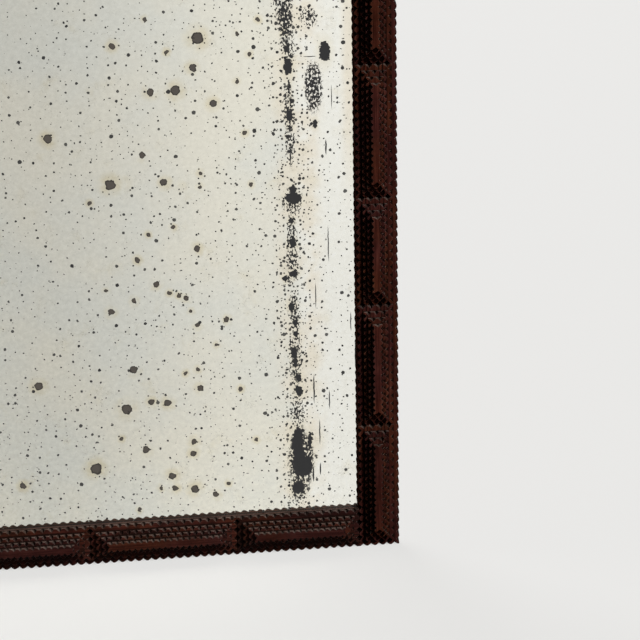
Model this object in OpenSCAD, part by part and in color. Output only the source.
// Wall mirror in a chip-carved frame of stepped, notched blocks.
// Millimetres. X runs to the right, Z up, and the front faces -Y.
// The origin is the middle of the back boards' rear face.

/* [Block lengths] */
// Corner block of each stile
stile_block_1 = 122; // [90:1:160]
// Second block of each stile, counted from its ends
stile_block_2 = 122; // [90:1:160]
// Third block of each stile
stile_block_3 = 106; // [90:1:160]
// Fourth block of each stile, next to the middle
stile_block_4 = 128; // [90:1:160]
// End block of each rail
rail_block_1 = 122; // [90:1:160]
// Second block of each rail
rail_block_2 = 144; // [90:1:180]
// Middle block of each rail
rail_block_3 = 124; // [90:1:180]
// Open joint between neighbouring blocks
block_gap = 0.6; // [0.4:0.1:1.5]

/* [Slats] */
// Thickness of every slat
slat_t = 4.8; // [4.5:0.1:6.5]
// Width of the cap slat on top of a block
cap_w = 9.4; // [8:0.1:14]
// Ledge of the third slat beside the cap
third_ledge = 3.6; // [3:0.1:6]
// Ledge of the second slat beside the third
second_ledge = 3.6; // [3:0.1:6]
// Ledge of the foot slat beside the second
foot_ledge = 5.6; // [3:0.1:8]
// Ledge of the base strip outside the foot slats
base_ledge = 5.8; // [3:0.1:9]
// Step from each slat to the next at the ends of a block
end_step = 5.2; // [3:0.1:7]

/* [Notches] */
// Notch spacing along the base strips
base_pitch = 8.1; // [6:0.1:10]
// Notch spacing along the foot slats
foot_pitch = 8.1; // [6:0.1:10]
// Notch spacing along the second slats
second_pitch = 7; // [5:0.1:10]
// Notch spacing along the third slats
third_pitch = 6.6; // [5:0.1:10]
// Notch spacing along the caps
cap_pitch = 5.9; // [4.5:0.1:9]
// Depth of the notches, apart from those of the caps
notch_depth = 2.6; // [1:0.1:2.9]
// Depth of the notches of the caps
cap_notch_depth = 1.8; // [0.8:0.1:2.5]
// Share of the spacing that a notch takes up
notch_share = 0.8; // [0.4:0.05:0.9]

/* [Glass and carcass] */
// Thickness of the mirror plate
glass_t = 3; // [2:0.5:5]
// Depth of the rebate behind the sight edge
rebate = 8; // [5:0.5:12]
// Room between the plate's edge and the carcass
glass_gap = 1; // [0.5:0.25:2]
// Thickness of the carcass battens
carcass_t = 12; // [10:0.5:18]
// Leg of the glue blocks along the glass
glue_block_leg = 12; // [8:1:20]
// Length of the glue blocks
glue_block_l = 50; // [20:5:80]
// Room between the glue blocks and the back boards
glue_block_gap = 1; // [0.5:0.5:3]
// Spacing of the glue blocks along the stiles
stile_glue_spacing = 270; // [100:10:300]
// Spacing of the glue blocks along the rails
rail_glue_spacing = 210; // [100:10:220]

/* [Back boards] */
// Thickness of the back boards
board_t = 6; // [4:0.5:10]
// Width of the two outer boards
side_board_w = 98; // [60:1:130]
// Number of boards between the outer ones
inner_boards = 3; // [3:2:5]
// Shrinkage gap between boards
board_gap = 1; // [0.5:0.5:3]

/* [Nails] */
// Shank diameter
nail_d = 1.6; // [1:0.1:2.4]
// Head diameter
nail_head_d = 4; // [3:0.1:5]
// Head thickness
nail_head_t = 0.8; // [0.5:0.1:1.5]
// How far the corner nails bite into the base strips
nail_bite = 4; // [2:0.1:4.2]
// Nails from the edge of a board
nail_margin = 16; // [10:1:25]
// Corner nails from the outer corner of the carcass
corner_nail_near = 7; // [5:0.5:8]
// Spacing of the two nails of a corner, along both sides
corner_nail_spacing = 13; // [11:0.5:14]
// Spacing of the nails along the stiles
stile_nail_spacing = 300; // [200:10:320]
// Room round a nail in its hole
nail_fit = 0.05; // [0.02:0.01:0.1]

/* [Hangers] */
// Height of the ring axis above the middle of the frame
hanger_z = 240; // [100:5:250]
// Width of the strap
strap_w = 14; // [10:0.5:18]
// Thickness of the strap
strap_t = 1.2; // [1:0.1:2]
// Strap length from the ring axis to the middle of its round end
strap_l = 36; // [30:1:50]
// First screw below the ring axis
screw_offset = 18; // [16:0.5:20]
// Spacing of the two screws of a strap
screw_spacing = 14; // [8:0.5:16]
// Screw shank diameter
screw_d = 3; // [2:0.1:4]
// Screw head diameter
screw_head_d = 5.4; // [4.5:0.1:7]
// How deep the screws go into the boards and the carcass
screw_l = 14; // [8:0.5:15]
// Room round a screw in its hole
screw_fit = 0.05; // [0.02:0.01:0.1]
// Wire diameter of the rings
ring_wire_d = 2.5; // [2:0.1:4]
// Radius of the bends beside the ring's straight bar
ring_bend_r = 3; // [2.5:0.1:5]
// Room between the strap's sides and the bends of the ring
ring_side_gap = 0.5; // [0.3:0.1:2]
// Room between a hanging ring and its strap
ring_clear = 0.3; // [0.25:0.05:1]
// Radial running room of the ring's bar in the knuckle
knuckle_fit = 0.08; // [0.02:0.01:0.1]

/* [Hidden] */
$fn = 64;

stain = [0.24, 0.11, 0.08];
cap_stain = [0.29, 0.14, 0.10];
pine = [0.55, 0.40, 0.25];
iron = [0.30, 0.29, 0.28];
silvering = [0.78, 0.78, 0.73];

STILES = [["left", -1], ["right", 1]];
RAILS = [["bottom", -1], ["top", 1]];

stile_blocks = [
    stile_block_1, stile_block_2, stile_block_3, stile_block_4,
    stile_block_4, stile_block_3, stile_block_2, stile_block_1
];
rail_blocks = [rail_block_1, rail_block_2, rail_block_3, rail_block_2, rail_block_1];

function sum_to(list, n) = n <= 0 ? 0 : list[n - 1] + sum_to(list, n - 1);
function total(list) = sum_to(list, len(list));
function block_centre(list, i) = sum_to(list, i) + list[i] / 2 - total(list) / 2;

// The four tiers of a block, from the foot to the cap
tier_names = ["foot", "second_steps", "third_steps", "caps"];
third_w = cap_w + 2 * third_ledge;
second_w = third_w + 2 * second_ledge;
foot_w = second_w + 2 * foot_ledge;
tier_w = [foot_w, second_w, third_w, cap_w];
tier_pitch = [foot_pitch, second_pitch, third_pitch, cap_pitch];
tier_depth = [notch_depth, notch_depth, notch_depth, cap_notch_depth];

// Sight opening and what lies round it
sight_w = total(rail_blocks);
sight_h = total(stile_blocks) - 2 * foot_w;
base_w = foot_w + base_ledge;
carcass_w = foot_w - rebate;
stile_x = sight_w / 2 + foot_w / 2;
rail_z = sight_h / 2 + foot_w / 2;
opening_w = sight_w + 2 * rebate;
opening_h = sight_h + 2 * rebate;
carcass_outer_w = sight_w + 2 * foot_w;
carcass_outer_h = sight_h + 2 * foot_w;
carcass_stile_x = (opening_w + carcass_w) / 2;
carcass_rail_z = (opening_h + carcass_w) / 2;

// Distances from the rear face to the back of each layer
carcass_back = board_t;
base_back = carcass_back + carcass_t;
function tier_back(tier) = base_back + slat_t * (tier + 1);

// Back boards
inner_board_w = (carcass_outer_w - 2 * side_board_w - (inner_boards + 1) * board_gap) / inner_boards;
board_count = inner_boards + 2;
function board_w(i) = i == 0 || i == board_count - 1 ? side_board_w : inner_board_w;
function board_left(i) = i == 0 ? -carcass_outer_w / 2 : board_left(i - 1) + board_w(i - 1) + board_gap;

// Nails: one size drives the corners and the boards
nail_l = carcass_t + nail_bite;
board_nail_spots = [
    for (i = [0 : board_count - 1], end = [-1, 1], edge = [nail_margin, board_w(i) - nail_margin])
        [board_left(i) + edge, end * carcass_rail_z]
];
stile_nail_spots = [
    for (side = [-1, 1], step = [-1, 0, 1]) [side * carcass_stile_x, step * stile_nail_spacing]
];
corner_nail_spots = [
    for (side = [-1, 1], end = [-1, 1], reach = [corner_nail_near, corner_nail_near + corner_nail_spacing])
        [side * (carcass_outer_w / 2 - reach), end * (carcass_outer_h / 2 - reach)]
];

// Hangers
ring_axis_y = strap_t + ring_clear + ring_wire_d / 2;
knuckle_bore_r = ring_wire_d / 2 + knuckle_fit;
knuckle_r = knuckle_bore_r + strap_t;
ring_bar_l = strap_w + 2 * ring_side_gap;
ring_r = ring_bar_l / 2 + ring_bend_r;
screw_spots = [
    for (side = [-1, 1], down = [screw_offset, screw_offset + screw_spacing])
        [side * carcass_stile_x, hanger_z - down]
];

// An outline in X and Z becomes a slab whose back is the given distance in front of the rear face
module slab(back, thickness) {
    translate([0, -back, 0]) rotate([90, 0, 0]) linear_extrude(thickness) children();
}

// Points from corner a up to corner b, with V notches cut in at an even spacing.
// A whole tooth stands at each corner.
function notched_side(a, b, pitch, depth) =
    let (
        run = norm(b - a),
        along = (b - a) / run,
        inward = [-along.y, along.x],
        tooth = 1 - notch_share,
        count = max(1, round(run / pitch - tooth)),
        step = run / (count + tooth),
        half = notch_share * step / 2
    )
    concat([a], [
        for (i = [0 : count - 1]) each
            let (middle = a + along * ((i + tooth) * step + half))
            [middle - along * half, middle + inward * depth, middle + along * half]
    ]);

// A rectangle about the origin; cut says which of its bottom, right, top and left sides are notched
module notched_rectangle(w, h, pitch, depth, cut = [true, true, true, true]) {
    corners = [[-w, -h] / 2, [w, -h] / 2, [w, h] / 2, [-w, h] / 2];
    polygon([
        for (i = [0 : 3]) each
            cut[i] ? notched_side(corners[i], corners[(i + 1) % 4], pitch, depth) : [corners[i]]
    ]);
}

function slat_length(block, tier) = block - block_gap - 2 * end_step * tier;

// One slat of a block on a stile, side being -1 on the left and 1 on the right
module stile_slat(side, i, tier) {
    slab(tier_back(tier), slat_t)
        translate([side * stile_x, block_centre(stile_blocks, i)])
            notched_rectangle(
                tier_w[tier], slat_length(stile_blocks[i], tier),
                tier_pitch[tier], tier_depth[tier]
            );
}

// One slat of a block on a rail, end being -1 at the bottom and 1 at the top
module rail_slat(end, i, tier) {
    slab(tier_back(tier), slat_t)
        translate([block_centre(rail_blocks, i), end * rail_z])
            notched_rectangle(
                slat_length(rail_blocks[i], tier), tier_w[tier],
                tier_pitch[tier], tier_depth[tier]
            );
}

module stile_foot(side, i) {
    color(stain) stile_slat(side, i, 0);
}

module rail_foot(end, i) {
    color(stain) rail_slat(end, i, 0);
}

module stile_tier(side, tier) {
    color(tier == 3 ? cap_stain : stain)
        for (i = [0 : len(stile_blocks) - 1]) stile_slat(side, i, tier);
}

module rail_tier(end, tier) {
    color(tier == 3 ? cap_stain : stain)
        for (i = [0 : len(rail_blocks) - 1]) rail_slat(end, i, tier);
}

// Full-height base strip, notched on its outer edge and on both ends
module base_strip_stile(side) {
    color(stain) difference() {
        slab(base_back, slat_t)
            translate([side * (sight_w + base_w) / 2, 0])
                notched_rectangle(
                    base_w, carcass_outer_h + 2 * base_ledge, base_pitch, notch_depth,
                    [true, side > 0, true, side < 0]
                );
        nail_holes(corner_nail_spots, carcass_back);
    }
}

// Base strip between the two upright ones, notched on its outer edge
module base_strip_rail(end) {
    color(stain)
        slab(base_back, slat_t)
            translate([0, end * (sight_h + base_w) / 2])
                notched_rectangle(
                    sight_w, base_w, base_pitch, notch_depth,
                    [end < 0, false, end > 0, false]
                );
}

// Upright batten between the two cross battens
module carcass_stile(side) {
    color(pine) difference() {
        slab(carcass_back, carcass_t)
            translate([side * carcass_stile_x, 0]) square([carcass_w, opening_h], center = true);
        nail_holes(stile_nail_spots, 0);
        screw_holes();
    }
}

// Cross batten over the full width, lapped at the corners by the upright base strips
module carcass_rail(end) {
    color(pine) difference() {
        slab(carcass_back, carcass_t)
            translate([0, end * carcass_rail_z]) square([carcass_outer_w, carcass_w], center = true);
        nail_holes(board_nail_spots, 0);
        nail_holes(corner_nail_spots, carcass_back);
    }
}

// The plate stands on the lower cross batten and lies against the base strips
module mirror_plate() {
    plate_h = opening_h - 2 * glass_gap;
    color(silvering)
        slab(base_back - glass_t, glass_t)
            translate([0, -glass_gap]) square([opening_w - 2 * glass_gap, plate_h], center = true);
}

// Three-cornered blocks in the angle between the glass and the carcass
module glue_blocks() {
    glass_y = glass_t - base_back;
    depth = carcass_t - glass_t - glue_block_gap;
    color(pine) for (step = [-1, 0, 1]) {
        for (flip = [0, 1])
            mirror([flip, 0, 0])
                translate([0, 0, step * stile_glue_spacing - glue_block_l / 2])
                    linear_extrude(glue_block_l)
                        glue_block_section(opening_w / 2, glass_y, depth);
        for (flip = [0, 1])
            mirror([0, 0, flip])
                translate([step * rail_glue_spacing - glue_block_l / 2, 0, 0])
                    rotate([0, -90, 0]) mirror([0, 0, 1]) linear_extrude(glue_block_l)
                        glue_block_section(opening_h / 2, glass_y, depth);
    }
}

module glue_block_section(wall, glass_y, depth) {
    polygon([[wall - glue_block_leg, glass_y], [wall, glass_y], [wall, glass_y + depth]]);
}

module back_board(i) {
    color(pine) difference() {
        slab(0, board_t)
            translate([board_left(i) + board_w(i) / 2, 0])
                square([board_w(i), carcass_outer_h], center = true);
        nail_holes(concat(board_nail_spots, stile_nail_spots), 0);
        screw_holes();
    }
}

// A cylinder that runs forward, towards -Y
module peg(d, l) {
    rotate([90, 0, 0]) cylinder(d = d, h = l);
}

module nail_holes(spots, back) {
    for (spot = spots) translate([spot.x, -back, spot.y]) {
        peg(nail_d + 2 * nail_fit, nail_l + nail_fit);
        peg(nail_head_d + 2 * nail_fit, nail_head_t);
    }
}

module nail() {
    peg(nail_d, nail_l);
    peg(nail_head_d, nail_head_t);
}

module wire_nails() {
    color(iron) {
        for (spot = concat(board_nail_spots, stile_nail_spots)) translate([spot.x, 0, spot.y]) nail();
        for (spot = corner_nail_spots) translate([spot.x, -carcass_back, spot.y]) nail();
    }
}

// Countersunk screw, its head flush with the strap; room widens it into the hole for one
module screw(room) {
    translate([0, strap_t, 0])
        rotate([90, 0, 0])
            cylinder(d1 = screw_head_d + 2 * room, d2 = screw_d + 2 * room, h = strap_t);
    peg(screw_d + 2 * room, screw_l + room);
}

module screw_holes() {
    for (spot = screw_spots) translate([spot.x, 0, spot.y]) screw(screw_fit);
}

module hanger_screws() {
    color(iron) for (spot = screw_spots) translate([spot.x, 0, spot.y]) screw(0);
}

// Strap with a round lower end and a knuckle at its top
module hanger_strap(side) {
    color(iron) difference() {
        translate([side * carcass_stile_x, 0, hanger_z]) {
            translate([0, strap_t, 0]) rotate([90, 0, 0]) linear_extrude(strap_t) {
                translate([-strap_w / 2, -strap_l]) square([strap_w, strap_l]);
                translate([0, -strap_l]) circle(d = strap_w);
            }
            translate([0, ring_axis_y, 0]) rotate([0, 90, 0])
                cylinder(r = knuckle_r, h = strap_w, center = true);
        }
        translate([side * carcass_stile_x, ring_axis_y, hanger_z]) rotate([0, 90, 0])
            cylinder(r = knuckle_bore_r, h = 2 * strap_w, center = true);
        screw_holes();
    }
}

// D ring of round wire, hanging from its straight bar
module hanger_ring(side) {
    wire_r = ring_wire_d / 2;
    color(iron)
        translate([side * carcass_stile_x, ring_axis_y, hanger_z]) rotate([90, 0, 0]) {
            rotate([0, 90, 0]) cylinder(r = wire_r, h = ring_bar_l, center = true);
            for (flip = [0, 1])
                mirror([flip, 0, 0])
                    translate([ring_bar_l / 2, -ring_bend_r, 0])
                        rotate_extrude(angle = 90) translate([ring_bend_r, 0]) circle(r = wire_r);
            translate([0, -ring_bend_r, 0]) rotate([0, 0, 180])
                rotate_extrude(angle = 180) translate([ring_r, 0]) circle(r = wire_r);
        }
}

mirror_plate();
glue_blocks();
wire_nails();
hanger_screws();
for (s = STILES) {
    base_strip_stile(s[1]);
    carcass_stile(s[1]);
    hanger_strap(s[1]);
    hanger_ring(s[1]);
    for (i = [1 : len(stile_blocks)])
        stile_foot(s[1], i - 1);
    for (tier = [1 : 3])
        stile_tier(s[1], tier);
}
for (r = RAILS) {
    base_strip_rail(r[1]);
    carcass_rail(r[1]);
    for (i = [1 : len(rail_blocks)])
        rail_foot(r[1], i - 1);
    for (tier = [1 : 3])
        rail_tier(r[1], tier);
}
for (i = [1 : board_count])
    back_board(i - 1);
